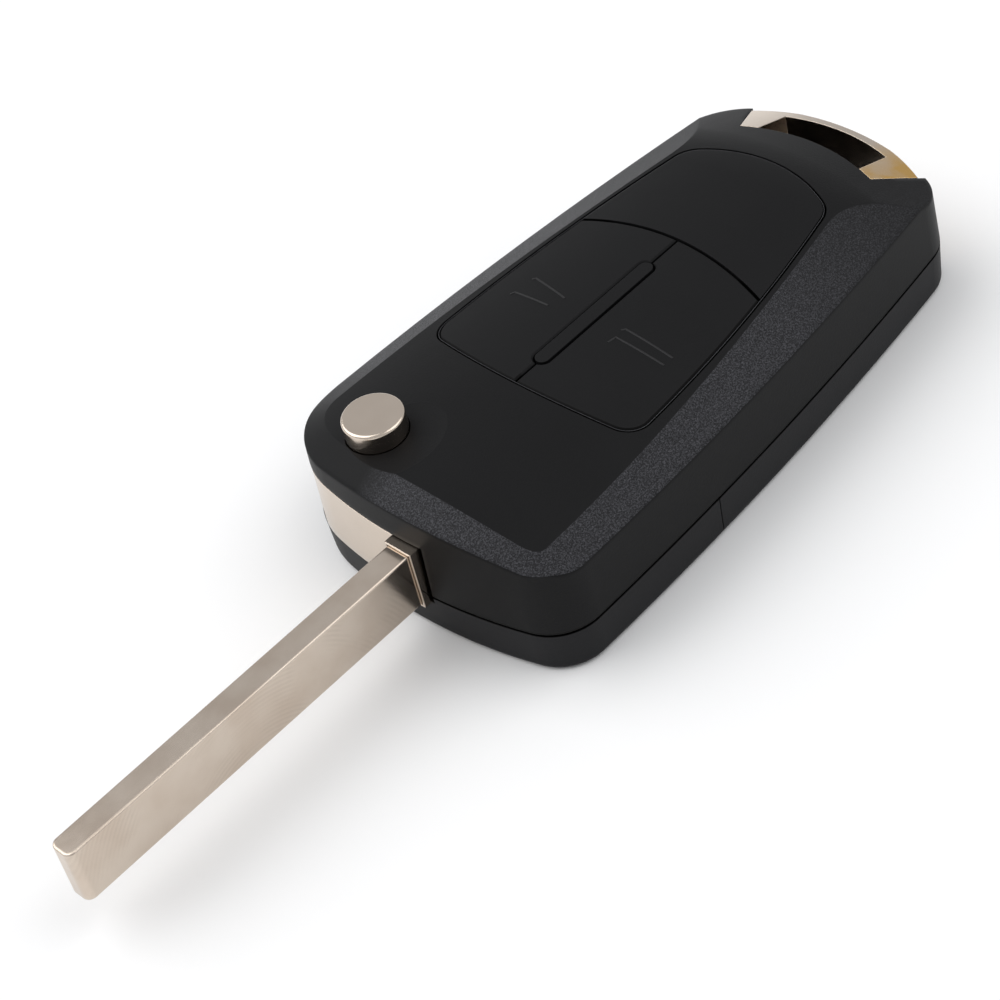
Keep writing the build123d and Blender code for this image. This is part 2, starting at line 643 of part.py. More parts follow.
with BuildPart() as blade_pin:
    with Locations((BLADE_PIN_X, BLADE_Y, HUB_MIDDLE)):
        Cylinder(BLADE_PIN_RADIUS, HUB_HEIGHT - 2 * FIT)
    chamfer(blade_pin.edges().filter_by(GeomType.CIRCLE), 2 * FIT)

# Release button: a cap with a skirt, keyed to the flip head by two splines

with BuildPart() as release_button:
    with Locations((PIVOT_X, PIVOT_Y, RELEASE_BOTTOM)):
        Cylinder(RELEASE_RADIUS, RELEASE_TOP - RELEASE_BOTTOM, align=(Align.CENTER, Align.CENTER, Align.MIN))
        Box(
            2 * spline_reach,
            SPLINE_WIDTH,
            SPLINE_HEIGHT,
            align=(Align.CENTER, Align.CENTER, Align.MIN),
        )
        Cylinder(
            RELEASE_RADIUS - RELEASE_SKIRT,
            RELEASE_CEILING - RELEASE_BOTTOM,
            align=(Align.CENTER, Align.CENTER, Align.MIN),
            mode=Mode.SUBTRACT,
        )
    fillet(release_button.edges().sort_by(Axis.Z)[-1], RELEASE_EDGE)

# Spring that lifts the button and flips the head out

spring_low = POST_TOP + SPRING_WIRE + STACK_GAP / 2
spring_high = RELEASE_CEILING - SPRING_WIRE - STACK_GAP / 2

with BuildPart() as hub_spring:
    with BuildLine(Plane(origin=(PIVOT_X, PIVOT_Y, spring_low))) as coil:
        Helix((spring_high - spring_low) / SPRING_TURNS, spring_high - spring_low, SPRING_RADIUS)
    with BuildSketch(Plane(origin=coil.line @ 0, z_dir=coil.line % 0)) as wire:
        Circle(SPRING_WIRE)
    sweep(wire.sketch, path=coil.line, is_frenet=True)

# Keypad: three buttons and the bar between the front two, all flush with the crowned top

button_height = CASE_HEIGHT - BUTTON_BOTTOM

with BuildPart() as keypad_block:
    extrude(pad_plan(BUTTON_BOTTOM), amount=button_height)
    add(crown, mode=Mode.INTERSECT)


def front_button(side):
    """One of the two front buttons, on the side given as -1 or 1."""
    clear = rectangle(
        Plane.XY.offset(BUTTON_BOTTOM),
        (PAD_FRONT_X - MARGIN, min(-side * CASE_WIDTH, side * BUTTON_GAP / 2)),
        (REAR_X, max(-side * CASE_WIDTH, side * BUTTON_GAP / 2)),
    )
    with BuildPart() as button:
        add(keypad_block.part)
        extrude(rear_zone(BUTTON_BOTTOM, -BUTTON_GAP / 2), amount=button_height, mode=Mode.SUBTRACT)
        extrude(clear, amount=button_height, mode=Mode.SUBTRACT)
        extrude(capsule_plan(BUTTON_BOTTOM, BUTTON_GAP), amount=button_height, mode=Mode.SUBTRACT)
        chamfer(button.faces().sort_by(Axis.Z)[-1].edges(), BUTTON_EDGE)
    return button


unlock_button = front_button(1)
lock_button = front_button(-1)

with BuildPart() as boot_button:
    add(keypad_block.part)
    extrude(rear_zone(BUTTON_BOTTOM, BUTTON_GAP / 2), amount=button_height, mode=Mode.INTERSECT)

with BuildPart() as centre_bar:
    extrude(capsule_plan(MEMBRANE_TOP + STACK_GAP), amount=CASE_HEIGHT)
    add(crown, mode=Mode.INTERSECT)

# Rubber sheet with a dome under each button

front_switch_x = (PAD_FRONT_X + ZONE_X) / 2
rear_switch_x = (ZONE_X + PAD_REAR_X) / 2
front_switch_y = PAD_MIDDLE_WIDTH / 4
switch_places = [(front_switch_x, front_switch_y), (front_switch_x, -front_switch_y), (rear_switch_x, 0)]

with BuildPart() as keypad_membrane:
    extrude(pad_plan(MEMBRANE_Z), amount=MEMBRANE_THICKNESS)
    with BuildSketch(Plane.XY.offset(MEMBRANE_TOP)) as domes:
        with Locations(*switch_places):
            Circle(DOME_RADIUS)
    extrude(amount=DOME_HEIGHT, taper=45)

# Electronics

with BuildPart() as circuit_board:
    extrude(module_plan(BOARD_Z, CARRIER_MARGIN), amount=BOARD_THICKNESS)

switches = []
for place in switch_places:
    with BuildPart() as switch:
        with BuildSketch(Plane.XY.offset(BOARD_TOP)) as body:
            with Locations(place):
                Rectangle(SWITCH_SIZE, SWITCH_SIZE)
        extrude(amount=SWITCH_HEIGHT)
        with BuildSketch(Plane.XY.offset(BOARD_TOP + SWITCH_HEIGHT)) as plunger:
            with Locations(place):
                Circle(PLUNGER_RADIUS)
        extrude(amount=PLUNGER_HEIGHT)
    switches.append(switch)
unlock_switch, lock_switch, boot_switch = switches

with BuildPart() as transmitter_chip:
    with BuildSketch(Plane.XY.offset(BOARD_TOP)) as body:
        with Locations((PAD_FRONT_X + TRANSMITTER_SETBACK, 0)):
            Rectangle(TRANSMITTER_SIZE, TRANSMITTER_SIZE)
    extrude(amount=SWITCH_HEIGHT)

with BuildPart() as crystal:
    with BuildSketch(Plane.XY.offset(BOARD_TOP)) as body:
        with Locations((ZONE_X - CRYSTAL_SETBACK, 0)):
            RectangleRounded(CRYSTAL_LENGTH, CRYSTAL_WIDTH, CRYSTAL_CORNER)
    extrude(amount=SWITCH_HEIGHT)

with BuildPart() as battery:
    with Locations((BATTERY_X, BATTERY_Y, BATTERY_Z)):
        Cylinder(BATTERY_RADIUS, BATTERY_HEIGHT, align=(Align.CENTER, Align.CENTER, Align.MIN))
    chamfer(battery.edges().sort_by(Axis.Z)[-1], BATTERY_STEP, length2=BATTERY_STEP * 2)

# Contacts: one presses on the battery's upper face, the other on its rim, and both rise to the board
leg_x = BATTERY_X + BATTERY_RADIUS / 2
contact_z = BATTERY_Z + BATTERY_HEIGHT + STACK_GAP
rim_y = BATTERY_Y - BATTERY_RADIUS - STACK_GAP
contact_low = leg_x - CONTACT_LENGTH
half_contact = CONTACT_WIDTH / 2

with BuildPart() as contact_negative:
    flat = rectangle(
        Plane.XY.offset(contact_z),
        (contact_low, BATTERY_Y - half_contact),
        (leg_x + CONTACT_THICKNESS, BATTERY_Y + half_contact),
    )
    extrude(flat, amount=CONTACT_THICKNESS)
    leg = rectangle(
        Plane.XY.offset(contact_z),
        (leg_x, BATTERY_Y - half_contact),
        (leg_x + CONTACT_THICKNESS, BATTERY_Y + half_contact),
    )
    extrude(leg, amount=BOARD_Z - STACK_GAP - contact_z)

with BuildPart() as contact_positive:
    strip = rectangle(
        Plane.XY.offset(BATTERY_Z + CONTACT_THICKNESS),
        (BATTERY_X - half_contact, rim_y - CONTACT_THICKNESS),
        (BATTERY_X + half_contact, rim_y),
    )
    extrude(strip, amount=BOARD_Z - STACK_GAP - BATTERY_Z - CONTACT_THICKNESS)

# Carrier: a tray with a deck over the battery, which holds the board

with BuildPart() as board_carrier:
    carrier_z = FLOOR + STACK_GAP
    extrude(module_plan(carrier_z, CARRIER_MARGIN), amount=BOARD_Z - carrier_z)
    extrude(
        module_plan(carrier_z, CARRIER_MARGIN - CARRIER_WALL),
        amount=BOARD_Z - carrier_z,
        mode=Mode.SUBTRACT,
    )
    extrude(module_plan(DECK_Z, CARRIER_MARGIN), amount=DECK)
    leg_window = rectangle(
        Plane.XY.offset(DECK_Z),
        (leg_x - FIT, BATTERY_Y - half_contact - FIT),
        (leg_x + CONTACT_THICKNESS + FIT, BATTERY_Y + half_contact + FIT),
    )
    extrude(leg_window, amount=DECK, mode=Mode.SUBTRACT)
    strip_window = rectangle(
        Plane.XY.offset(DECK_Z),
        (BATTERY_X - half_contact - FIT, rim_y - CONTACT_THICKNESS - FIT),
        (BATTERY_X + half_contact + FIT, rim_y + FIT),
    )
    extrude(strip_window, amount=DECK, mode=Mode.SUBTRACT)

with BuildPart() as transponder:
    chip = rectangle(
        Plane.XY.offset(PARTING_Z + STACK_GAP),
        (CHIP_X - CHIP_LENGTH / 2, CHIP_Y - CHIP_WIDTH / 2),
        (CHIP_X + CHIP_LENGTH / 2, CHIP_Y + CHIP_WIDTH / 2),
    )
    extrude(chip, amount=CHIP_HEIGHT)

pieces = {
    "upper_shell": upper_shell,
    "lower_shell": lower_shell,
    "battery_cover": battery_cover,
    "key_ring_bar": key_ring_bar,
    "blade_hub": blade_hub,
    "key_blade": key_blade,
    "blade_pin": blade_pin,
    "release_button": release_button,
    "hub_spring": hub_spring,
    "unlock_button": unlock_button,
    "lock_button": lock_button,
    "boot_button": boot_button,
    "centre_bar": centre_bar,
    "keypad_membrane": keypad_membrane,
    "circuit_board": circuit_board,
    "unlock_switch": unlock_switch,
    "lock_switch": lock_switch,
    "boot_switch": boot_switch,
    "transmitter_chip": transmitter_chip,
    "crystal": crystal,
    "battery": battery,
    "contact_negative": contact_negative,
    "contact_positive": contact_positive,
    "board_carrier": board_carrier,
    "transponder": transponder,
}

os.makedirs("parts", exist_ok=True)
for name, piece in pieces.items():
    piece.part.label = name
    export_step(piece.part, f"parts/{name}.step")
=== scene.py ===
import math

import bmesh
import bpy
from mathutils import Matrix, Vector


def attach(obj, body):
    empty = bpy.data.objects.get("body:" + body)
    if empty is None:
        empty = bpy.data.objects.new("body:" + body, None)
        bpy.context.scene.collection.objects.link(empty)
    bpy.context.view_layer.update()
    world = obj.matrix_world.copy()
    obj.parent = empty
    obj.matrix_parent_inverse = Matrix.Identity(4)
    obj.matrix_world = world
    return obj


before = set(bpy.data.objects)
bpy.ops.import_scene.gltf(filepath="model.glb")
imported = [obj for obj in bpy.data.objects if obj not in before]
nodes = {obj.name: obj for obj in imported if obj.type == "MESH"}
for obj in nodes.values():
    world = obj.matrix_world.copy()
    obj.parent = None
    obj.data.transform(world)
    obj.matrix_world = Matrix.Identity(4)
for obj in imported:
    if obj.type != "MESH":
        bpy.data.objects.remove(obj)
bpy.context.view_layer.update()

MM = 0.001


# Ways to write a material

def colour(text):
    """A colour written as in a paint chart, as the linear values that a shader takes."""
    channels = [int(text[i:i + 2], 16) / 255 for i in (1, 3, 5)]
    return tuple(c / 12.92 if c <= 0.04045 else ((c + 0.055) / 1.055) ** 2.4 for c in channels) + (1.0,)


def start(name):
    """A new material without nodes, and its tree."""
    material = bpy.data.materials.new(name)
    material.use_nodes = True
    material.node_tree.nodes.clear()
    return material, material.node_tree


def node(tree, kind, settings=None, *values, out=None, **named):
    """Adds a node with its settings. Its inputs are given in order or by name, each as a value or another node's
    output. What comes back is its first output, or the one that is asked for."""
    made = tree.nodes.new("ShaderNode" + kind)
    for key, value in (settings or {}).items():
        setattr(made, key, value)
    places = [place for place in made.inputs if place.enabled]
    for place, value in list(zip(places, values)) + [(made.inputs[key.replace("_", " ")], named[key]) for key in named]:
        if isinstance(value, bpy.types.NodeSocket):
            tree.links.new(value, place)
        else:
            place.default_value = value
    return made.outputs[out] if out else next((end for end in made.outputs if end.enabled), None)


MIX = {"data_type": "RGBA"}
TIMES = {"operation": "MULTIPLY"}
TIMES_PLUS = {"operation": "MULTIPLY_ADD"}
LARGER = {"operation": "MAXIMUM"}
SIZE_OF = {"operation": "ABSOLUTE"}
NEAR = {"operation": "COMPARE"}

# Painted shade: a near black that stands in for the shade in gaps and undercuts.
PAINTED_SHADE = colour("#020202")  # gaps and undercuts that no light gets into


# ABS moulded in a spark-eroded tool: matt, and nearly even to the eye on the crown and the walls. The sloping bands
# have a coarser grain, and fine grey glints are painted into their colour as highlights.

def grained_abs(name, low, high):
    """The casing's black, between two close tones."""
    material, tree = start(name)
    spot = node(tree, "TexCoord", out="Object")
    along = node(tree, "SeparateXYZ", None, spot, out="X")
    across = node(tree, "SeparateXYZ", None, spot, out="Y")
    height = node(tree, "SeparateXYZ", None, spot, out="Z")
    upward = node(tree, "SeparateXYZ", None, node(tree, "NewGeometry", out="True Normal"), out="Z")

    # The bands slope at about 30 degrees, so they lie between the crown's slopes and the walls'.
    off_crown = node(tree, "MapRange", None, upward, 0.895, 0.935, 1.0, 0.0)
    off_wall = node(tree, "MapRange", None, upward, 0.6, 0.8, 0.0, 1.0)
    sloping = node(tree, "Math", TIMES, off_crown, off_wall)
    # Their grain, and the highlights painted into it, fade out towards the flip head's corner and towards the key ring.
    left = node(tree, "MapRange", None, across, 1 * MM, 5 * MM, 0.0, 1.0)
    ahead = node(tree, "MapRange", None, along, -32 * MM, -22 * MM, 1.0, 0.0)
    off_corner = node(tree, "MapRange", None, node(tree, "Math", TIMES, left, ahead), 0.0, 1.0, 1.0, 0.0)
    painted_sheen = node(tree, "MapRange", None, along, 5 * MM, 33 * MM, 1.0, 0.35)
    band = node(tree, "Math", TIMES, node(tree, "Math", TIMES, sloping, off_corner), painted_sheen)

    # Both grains look finer than 0.1 mm on the real casing, too fine for the render, so they are drawn coarser.
    fine = node(tree, "TexNoise", Vector=spot, Scale=1 / (0.2 * MM))
    coarse = node(tree, "TexNoise", Vector=spot, Scale=1 / (0.18 * MM), Detail=4.0, Roughness=0.8)
    cloud = node(tree, "TexNoise", Vector=spot, Scale=1 / (9 * MM))
    plain = node(tree, "Mix", MIX, cloud, colour(low), colour(high))
    # Painted highlights: where the coarse grain peaks, the band's colour turns a lighter grey, as glints.
    shine = node(tree, "MapRange", None, coarse, 0.45, 0.75, 0.0, 1.0)
    painted_glints = node(tree, "Mix", MIX, shine, colour("#1e1e20"), colour("#5e5e63"))

    # The parting is painted as a dark line of shade, 0.6 mm high, because hardly any light gets into the set-in rim.
    rim = node(tree, "Math", NEAR, height, 5.9 * MM, 0.3 * MM)

    # Edges of the outer form are softer than those round the buttons and along the parting.
    beside = node(tree, "Math", TIMES_PLUS, along, 0.13, node(tree, "Math", SIZE_OF, across))
    sides = node(tree, "MapRange", None, beside, 15.3 * MM, 16.3 * MM, 0.0, 1.0)
    front = node(tree, "MapRange", None, along, -37 * MM, -36 * MM, 1.0, 0.0)
    above = node(tree, "MapRange", None, height, 7 * MM, 8 * MM, 0.0, 1.0)
    reach = node(tree, "Math", TIMES, node(tree, "Math", LARGER, sides, front), above)
    radius = node(tree, "MapRange", None, reach, 0.0, 1.0, 0.12 * MM, 0.9 * MM)
    edges = node(tree, "Bevel", {"samples": 8}, Radius=radius)

    touch = node(tree, "Bump", Height=fine, Distance=0.02 * MM, Normal=edges)
    relief = node(tree, "Bump", Height=node(tree, "Math", TIMES, coarse, band), Distance=0.04 * MM, Normal=touch)
    tone = node(tree, "Mix", MIX, rim, node(tree, "Mix", MIX, band, plain, painted_glints), PAINTED_SHADE)
    surface = node(
        tree, "BsdfPrincipled", Base_Color=tone, Normal=relief, Specular_IOR_Level=0.12,
        Roughness=node(tree, "MapRange", None, band, 0.0, 1.0, 0.48, 0.44),
    )
    node(tree, "OutputMaterial", Surface=surface)
    return material


# The same ABS from a finer tool, so the buttons look smooth. The narrow edge round their tops is painted dark as
# shade along the outside of the keypad, where hardly any light gets in.

def button_abs():
    """The buttons' black."""
    material, tree = start("fine_grained_abs")
    spot = node(tree, "TexCoord", out="Object")
    along = node(tree, "SeparateXYZ", None, spot, out="X")
    across = node(tree, "SeparateXYZ", None, spot, out="Y")
    upward = node(tree, "SeparateXYZ", None, node(tree, "NewGeometry", out="True Normal"), out="Z")
    # The real grain is too fine to show, so it is drawn 0.16 mm across.
    grain = node(tree, "TexNoise", Vector=spot, Scale=1 / (0.16 * MM))
    cloud = node(tree, "TexNoise", Vector=spot, Scale=1 / (7 * MM))

    # Painted shade: the chamfers along the keypad's outside turn black.
    beside = node(tree, "Math", SIZE_OF, across)
    sides = node(tree, "MapRange", None, beside, 9.5 * MM, 10.5 * MM, 0.0, 1.0)
    front = node(tree, "MapRange", None, along, -16.9 * MM, -16.7 * MM, 1.0, 0.0)
    chamfer = node(tree, "MapRange", None, upward, 0.80, 0.90, 1.0, 0.0)
    shaded = node(tree, "Math", TIMES, node(tree, "Math", LARGER, sides, front), chamfer)

    plain = node(tree, "Mix", MIX, cloud, colour("#131314"), colour("#171718"))
    edges = node(tree, "Bevel", {"samples": 6}, Radius=0.12 * MM)
    surface = node(
        tree, "BsdfPrincipled", Specular_IOR_Level=0.12,
        Base_Color=node(tree, "Mix", MIX, shaded, plain, PAINTED_SHADE),
        Roughness=node(tree, "MapRange", None, cloud, 0.3, 0.7, 0.46, 0.54),
        Normal=node(tree, "Bump", Height=grain, Distance=0.01 * MM, Normal=edges),
    )
    node(tree, "OutputMaterial", Surface=surface)
    return material


# Nickel plated over a zinc die casting, satin and slightly warm: broad soft reflections, faintly brushed lengthwise.
# On the ring bar the plating is thin at one end, where yellow brass shows through on what faces up.

def plated_nickel(name, roughness, depth=0.0015, brass=0.0):
    """Nickel plating, with the depth of its brushing in millimetres and the share of brass that shows."""
    material, tree = start(name)
    spot = node(tree, "TexCoord", out="Object")
    # The brush lines are about 0.5 mm apart and eight times as long.
    lengthwise = node(tree, "Mapping", Vector=spot, Scale=(0.12, 1.0, 1.0))
    brushed = node(tree, "TexNoise", Vector=lengthwise, Scale=1 / (0.5 * MM), Detail=3.0)
    cloud = node(tree, "TexNoise", Vector=spot, Scale=1 / (4 * MM))
    tone = node(tree, "Mix", MIX, cloud, colour("#cfc1b2"), colour("#d8cbbd"))
    if brass:
        across = node(tree, "SeparateXYZ", None, spot, out="Y")
        upward = node(tree, "SeparateXYZ", None, node(tree, "NewGeometry", out="True Normal"), out="Z")
        blotch = node(tree, "TexNoise", Vector=spot, Scale=1 / (3 * MM))
        on_top = node(tree, "MapRange", None, upward, 0.3, 0.8, 0.0, 1.0)
        patch = node(tree, "Math", TIMES, on_top, node(tree, "MapRange", None, blotch, 0.4, 0.6, 0.6, 1.0))
        end = node(tree, "MapRange", None, across, -10 * MM, -4 * MM, brass, 0.0)
        tone = node(tree, "Mix", MIX, node(tree, "Math", TIMES, end, patch), tone, colour("#d5a545"))
    edges = node(tree, "Bevel", {"samples": 6}, Radius=0.18 * MM)
    surface = node(
        tree, "BsdfPrincipled", Base_Color=tone, Metallic=1.0,
        Roughness=node(tree, "MapRange", None, cloud, 0.3, 0.7, roughness - 0.03, roughness + 0.03),
        Normal=node(tree, "Bump", Height=brushed, Distance=depth * MM, Normal=edges),
    )
    node(tree, "OutputMaterial", Surface=surface)
    return material


# Steel that was milled and then nickel-plated. The blade's sides keep faint curved marks in patches, and its top is
# smooth and takes a plainer reflection.

WAVES_PER_UNIT = 20 / math.tau  # rings that the wave texture draws in one unit at a scale of 1


def milled_steel():
    """The blade's plated steel."""
    material, tree = start("milled_plated_steel")
    spot = node(tree, "TexCoord", out="Object")
    upward = node(tree, "SeparateXYZ", None, node(tree, "NewGeometry", out="True Normal"), out="Z")
    # The cutter's arcs centre on a line across the blade, 66 mm towards its tip and 4 mm under the casing's back. The
    # real ones look finer than 0.3 mm, so they are drawn 0.561 mm apart.
    centred = node(tree, "Mapping", Vector=spot, Scale=(1, 0, 1), Location=(66 * MM, 0, 4 * MM))
    arcs = node(
        tree, "TexWave", {"wave_type": "RINGS", "rings_direction": "Y"}, out="Fac", Vector=centred,
        Scale=1 / (0.561 * MM * WAVES_PER_UNIT), Distortion=0.4, Detail=1.0,
    )
    blotch = node(tree, "TexNoise", Vector=spot, Scale=1 / (6 * MM))
    patches = node(tree, "MapRange", None, blotch, 0.46, 0.60, 0.0, 1.0)
    on_sides = node(tree, "MapRange", None, upward, 0.3, 0.6, 1.0, 0.0)
    marks = node(tree, "Math", TIMES, node(tree, "Math", TIMES, arcs, patches), on_sides)

    # The brush lines are about 0.4 mm apart and ten times as long.
    lengthwise = node(tree, "Mapping", Vector=spot, Scale=(0.1, 1.0, 1.0))
    brushed = node(tree, "TexNoise", Vector=lengthwise, Scale=1 / (0.4 * MM), Detail=3.0)
    cloud = node(tree, "TexNoise", Vector=spot, Scale=1 / (5 * MM), Detail=3.0)
    edges = node(tree, "Bevel", {"samples": 6}, Radius=0.3 * MM)
    polish = node(tree, "Bump", Height=brushed, Distance=0.0012 * MM, Normal=edges)
    drift = node(tree, "MapRange", None, cloud, 0.35, 0.65, 0.0, 1.0)
    plate = node(tree, "Mix", MIX, drift, colour("#cbbcad"), colour("#d3c6b8"))
    surface = node(
        tree, "BsdfPrincipled", Metallic=1.0,
        Base_Color=node(tree, "Mix", MIX, node(tree, "Math", TIMES, marks, 0.16), plate, colour("#a8998a")),
        Roughness=node(tree, "MapRange", None, cloud, 0.3, 0.7, 0.13, 0.16),
        Normal=node(tree, "Bump", Height=marks, Distance=0.0007 * MM, Normal=polish),
    )
    node(tree, "OutputMaterial", Surface=surface)
    return material


# What lies inside is moulded, drawn, rolled or pressed. It shows two close tones in soft patches, and a light grain
# that breaks up the gloss. The grain is drawn 0.3 mm across, coarser than the real ones, so that it shows.

def made_stock(name, low, high, roughness, metal=0.0, depth=0.004, gloss=0.5):
    """Stock in two close tones, with the depth of its grain in millimetres."""
    material, tree = start(name)
    spot = node(tree, "TexCoord", out="Object")
    cloud = node(tree, "TexNoise", Vector=spot, Scale=1 / (3 * MM))
    grain = node(tree, "TexNoise", Vector=spot, Scale=1 / (0.3 * MM))
    edges = node(tree, "Bevel", {"samples": 6}, Radius=0.1 * MM)
    surface = node(
        tree, "BsdfPrincipled", Metallic=metal, Specular_IOR_Level=gloss,
        Base_Color=node(tree, "Mix", MIX, cloud, colour(low), colour(high)),
        Roughness=node(tree, "MapRange", None, grain, 0.3, 0.7, roughness - 0.05, roughness + 0.05),
        Normal=node(tree, "Bump", Height=grain, Distance=depth * MM, Normal=edges),
    )
    node(tree, "OutputMaterial", Surface=surface)
    return material


# Silicone rubber, moulded. The sheet's lip carries a painted highlight, grey on top, and painted shade, black in the
# gap below, so it shows as a fine light line between two dark ones.

def lip_silicone():
    """The rubber lip round the keypad."""
    material, tree = start("moulded_silicone_lip")
    spot = node(tree, "TexCoord", out="Object")
    upward = node(tree, "SeparateXYZ", None, node(tree, "NewGeometry", out="True Normal"), out="Z")
    cloud = node(tree, "TexNoise", Vector=spot, Scale=1 / (2 * MM))
    grain = node(tree, "TexNoise", Vector=spot, Scale=1 / (0.1 * MM))
    # Painted highlight on the lip's crest, painted shade on its sides.
    painted_sheen = node(tree, "Mix", MIX, cloud, colour("#48484b"), colour("#535356"))
    on_top = node(tree, "MapRange", None, upward, 0.5, 0.8, 0.0, 1.0)
    surface = node(
        tree, "BsdfPrincipled", Roughness=0.6, Specular_IOR_Level=0.2,
        Base_Color=node(tree, "Mix", MIX, on_top, PAINTED_SHADE, painted_sheen),
        Normal=node(tree, "Bump", Height=grain, Distance=0.003 * MM),
    )
    node(tree, "OutputMaterial", Surface=surface)
    return material


# Glass-fibre board under green solder resist. The tracks show as paler lines, 0.36 mm apart, and the weave as a
# slight unevenness in the gloss.

BRICK_ROW = 0.25  # height of a row in the brick texture at a scale of 1


def resist_on_glass_fibre():
    """The circuit board."""
    material, tree = start("resist_on_glass_fibre")
    spot = node(tree, "TexCoord", out="Object")
    tracks = node(
        tree, "TexBrick", Vector=spot, Scale=BRICK_ROW / (0.35714 * MM), Mortar_Size=0.04,
        Color1=colour("#14502f"), Color2=colour("#175a35"), Mortar=colour("#2c7d4a"),
    )
    weave = node(tree, "TexNoise", Vector=spot, Scale=1 / (0.3 * MM))
    surface = node(
        tree, "BsdfPrincipled", Base_Color=tracks,
        Roughness=node(tree, "MapRange", None, weave, 0.3, 0.7, 0.32, 0.42),
        Normal=node(tree, "Bump", Height=weave, Distance=0.003 * MM),
    )
    node(tree, "OutputMaterial", Surface=surface)
    return material


def assign(material, *names):
    """Gives these CAD nodes a material."""
    for name in names:
        mesh = nodes[name].data
        mesh.materials.clear()
        mesh.materials.append(material)


assign(grained_abs("grained_abs", "#111112", "#151516"), "upper_shell")
# The lower shell and battery cover take a lighter copy of the same black: partly a greyer moulding, partly painted
# light from the floor, which their slightly downward-sloping walls reflect.
assign(grained_abs("grained_abs_below", "#1b1b1d", "#202022"), "lower_shell", "battery_cover")
assign(button_abs(), "unlock_button", "lock_button", "boot_button", "centre_bar")
assign(plated_nickel("nickel_on_die_cast_head", 0.15), "blade_hub")
assign(plated_nickel("nickel_on_die_cast_button", 0.14, depth=0.002), "release_button")
assign(plated_nickel("nickel_on_brass_bar", 0.18, brass=0.85), "key_ring_bar")
assign(milled_steel(), "key_blade")
assign(made_stock("rolled_steel_pin", "#9a9a98", "#a8a8a6", 0.3, 1.0), "blade_pin")
assign(made_stock("drawn_spring_steel", "#7d7d7b", "#8c8c8a", 0.32, 1.0), "hub_spring")
assign(made_stock("moulded_silicone_sheet", "#2a2a2c", "#333335", 0.75), "keypad_membrane")
assign(resist_on_glass_fibre(), "circuit_board")
assign(made_stock("moulded_nylon_switch", "#1d1d1f", "#29292b", 0.45), "unlock_switch", "lock_switch", "boot_switch")
assign(made_stock("moulded_epoxy_chip", "#17171a", "#202024", 0.6), "transmitter_chip", "transponder")
assign(made_stock("drawn_nickel_can", "#b9babc", "#c6c7c9", 0.25, 1.0), "crystal")
assign(made_stock("pressed_stainless_can", "#b4b4b2", "#c2c2c0", 0.28, 1.0), "battery")
assign(made_stock("rolled_bronze_strip", "#c9b98c", "#d4c69d", 0.3, 1.0), "contact_negative", "contact_positive")
assign(made_stock("moulded_abs_carrier", "#262628", "#303032", 0.55), "board_carrier")


# The casing's top, as in the CAD

CROWN_TOP = 18.6 * MM
CROWN_RADIUS = 61.3 * MM
TAIL_BEND_X = 21.2 * MM  # where the top starts to fall towards the key ring
TAIL_BEND_RADIUS = 25.0 * MM


def top_height(x, y):
    """Height of the crowned top, which falls in an arc behind the bend."""
    crown = CROWN_TOP - CROWN_RADIUS + math.sqrt(CROWN_RADIUS ** 2 - y ** 2)
    turning = CROWN_TOP - TAIL_BEND_RADIUS
    return turning + math.sqrt((crown - turning) ** 2 - max(x - TAIL_BEND_X, 0.0) ** 2)


def extrude_along(shape, section, path, closed=False):
    """Extrudes a section along a flat path and square to it. The section's points give how far they lie to the
    path's left, and how high."""
    stations = []
    for i, point in enumerate(path):
        back, on = (i - 1, (i + 1) % len(path)) if closed else (max(i - 1, 0), min(i + 1, len(path) - 1))
        heading = path[on] - path[back]
        turn = Matrix.Rotation(math.atan2(heading.x, -heading.y), 4, "Z")
        stations.append(Matrix.Translation(point) @ turn)
    slices = [shape.faces.new([shape.verts.new(stations[0] @ Vector((left, 0, up))) for left, up in section])]
    for here, there in zip(stations, stations[1:]):
        made = bmesh.ops.extrude_face_region(shape, geom=[slices[-1]])["geom"]
        slices.append(next(part for part in made if isinstance(part, bmesh.types.BMFace)))
        bmesh.ops.transform(shape, matrix=there @ here.inverted(), verts=slices[-1].verts)
    rims = [*slices[0].edges, *slices[-1].edges]
    bmesh.ops.delete(shape, geom=slices if closed else slices[1:-1], context="FACES_ONLY")
    if closed:
        bmesh.ops.bridge_loops(shape, edges=rims)


def lay_on_top(shape, name, body, material):
    """Drops a flat shape onto the casing's top and makes it a piece that rides on a body."""
    for vert in shape.verts:
        vert.co.z += top_height(vert.co.x, vert.co.y)
    bmesh.ops.recalc_face_normals(shape, faces=shape.faces)
    mesh = bpy.data.meshes.new(name)
    shape.to_mesh(mesh)
    shape.free()
    mesh.materials.append(material)
    piece = bpy.data.objects.new(name, mesh)
    bpy.context.scene.collection.objects.link(piece)
    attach(piece, body)


# Signs on the two front buttons: an open V and two strokes, as fine raised lines. The corners are in millimetres.

V_SIGN = [[(-7.05, 11.39), (-6.54, 11.07), (-6.71, 5.54)], [(-3.88, 10.85), (-3.56, 10.51), (-4.87, 4.58)]]
BAR_SIGN = [[(-7.74, -4.57), (-6.64, -4.78), (-6.55, -11.61)], [(-5.50, -4.52), (-5.06, -4.87), (-5.15, -11.70)]]
SIGN_WIDTH = 0.34 * MM
SIGN_CREST = 0.45  # share of the width that stays flat on top
SIGN_HEIGHT = 0.06 * MM  # also how deep it sits in the button

SIGN_SECTION = [
    (-SIGN_WIDTH / 2, -SIGN_HEIGHT),
    (-SIGN_CREST * SIGN_WIDTH / 2, SIGN_HEIGHT),
    (SIGN_CREST * SIGN_WIDTH / 2, SIGN_HEIGHT),
    (SIGN_WIDTH / 2, -SIGN_HEIGHT),
]


